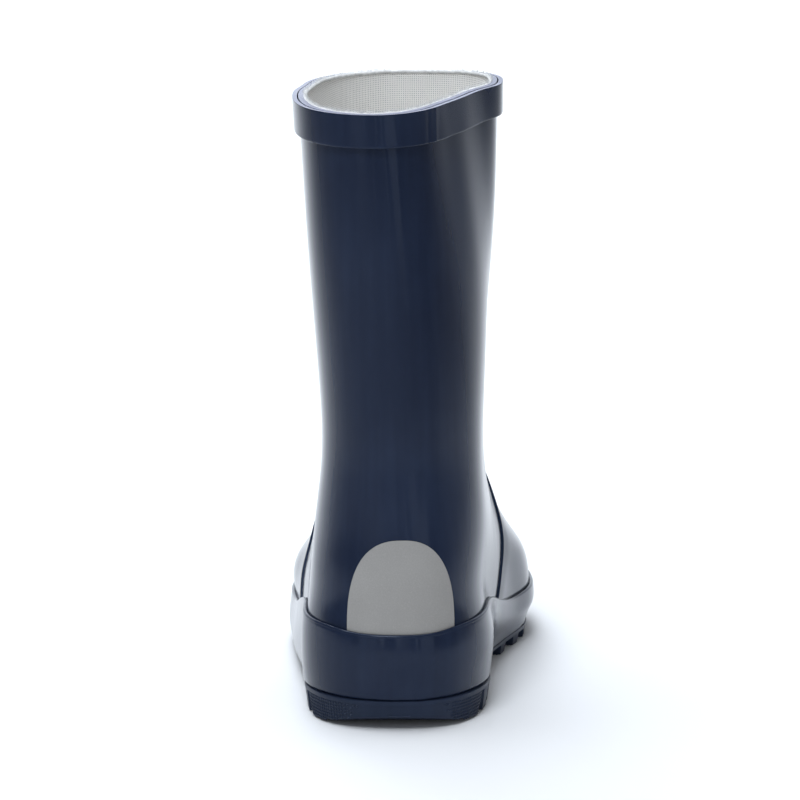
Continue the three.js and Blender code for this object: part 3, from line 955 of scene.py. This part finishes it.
camera = bpy.data.objects.new("camera", bpy.data.cameras.new("camera"))
bpy.context.scene.collection.objects.link(camera)
camera.location = inView(-view["distance"], view["height"])
sight = inView(view["aimAlong"], view["aimHeight"]) - camera.location
camera.rotation_euler = sight.to_track_quat("-Z", "Y").to_euler()
camera.data.lens = view["lens"]
camera.data.clip_start = 0.01
bpy.context.scene.camera = camera

studio = {
    "left": -3, "right": 3, "front": -3, "back": 1.4, "wall": 2, "curve": 0.8,
    "paper": (0.9, 0.9, 0.905, 1), "paperRoughness": 0.9,
    "air": (0.96, 0.97, 1, 1), "airStrength": 0.2, "lightColour": (0.87, 0.93, 1),
    # name, place, width, height, power and the place it points to
    "lights": [
        ("top softbox", (-0.12, 0.1, 0.95), 0.7, 0.7, 7.2, (-0.05, 0.05, 0)),
        ("backdrop light", (-0.15, 0.85, 0.95), 0.5, 0.5, 6.7, (-0.12, 1, 0)),
        ("high key", (-0.3, -1, 1.3), 0.6, 0.6, 11, (0, 0.05, 0.15)),
        ("strip behind", (1.35, -1.45, 0.45), 0.75, 1.2, 2.3, (0, 0, 0.1)),
        ("window strip", (-0.6, -1.9, 0.75), 0.11, 1.5, 1.1, (0, 0, 0.1)),
        ("window strip", (0.08, -1.9, 0.75), 0.11, 1.5, 1.1, (0, 0, 0.1)),
        ("window strip", (0.72, -1.9, 0.75), 0.11, 1.5, 1.1, (0, 0, 0.1)),
        ("left strip", (-0.95, -1.5, 0.45), 0.7, 1.2, 1.6, (0, 0, 0.1)),
    ],
}
deselectAll()
bpy.ops.mesh.primitive_plane_add(size=2, location=(0, 0, 0))
floor = newest("floor")
for point in floor.data.vertices:
    point.co = (studio["left"] if point.co.x < 0 else studio["right"],
                studio["front"] if point.co.y < 0 else studio["back"], 0)
pickEdges(floor, lambda a, b: min(a.y, b.y) > 0)
bpy.ops.mesh.extrude_edges_move(TRANSFORM_OT_translate={"value": (0, 0, studio["wall"])})
endEdit()
pickEdges(floor, lambda a, b: min(a.y, b.y) > 0 and max(a.z, b.z) < 0.01)
bpy.ops.mesh.bevel(offset=studio["curve"], segments=16, affect="EDGES")
endEdit()
smoothFaces(floor, 60)
paper = bpy.data.materials.new("white paper")
paper.use_nodes = True
paperShader = paper.node_tree.nodes["Principled BSDF"]
paperShader.inputs["Base Color"].default_value = studio["paper"]
paperShader.inputs["Roughness"].default_value = studio["paperRoughness"]
floor.data.materials.append(paper)

world = bpy.data.worlds.new("studio")
bpy.context.scene.world = world
world.use_nodes = True
world.node_tree.nodes["Background"].inputs["Color"].default_value = studio["air"]
world.node_tree.nodes["Background"].inputs["Strength"].default_value = studio["airStrength"]
for name, place, width, height, power, target in studio["lights"]:
    light = bpy.data.lights.new(name, "AREA")
    light.shape = "RECTANGLE"
    light.size, light.size_y = width, height
    light.energy = power
    light.color = studio["lightColour"]
    lamp = bpy.data.objects.new(name, light)
    bpy.context.scene.collection.objects.link(lamp)
    lamp.location = place
    lamp.rotation_euler = (Vector(target) - Vector(place)).to_track_quat("-Z", "Y").to_euler()
bpy.context.scene.view_settings.view_transform = "Standard"

print("scene done")
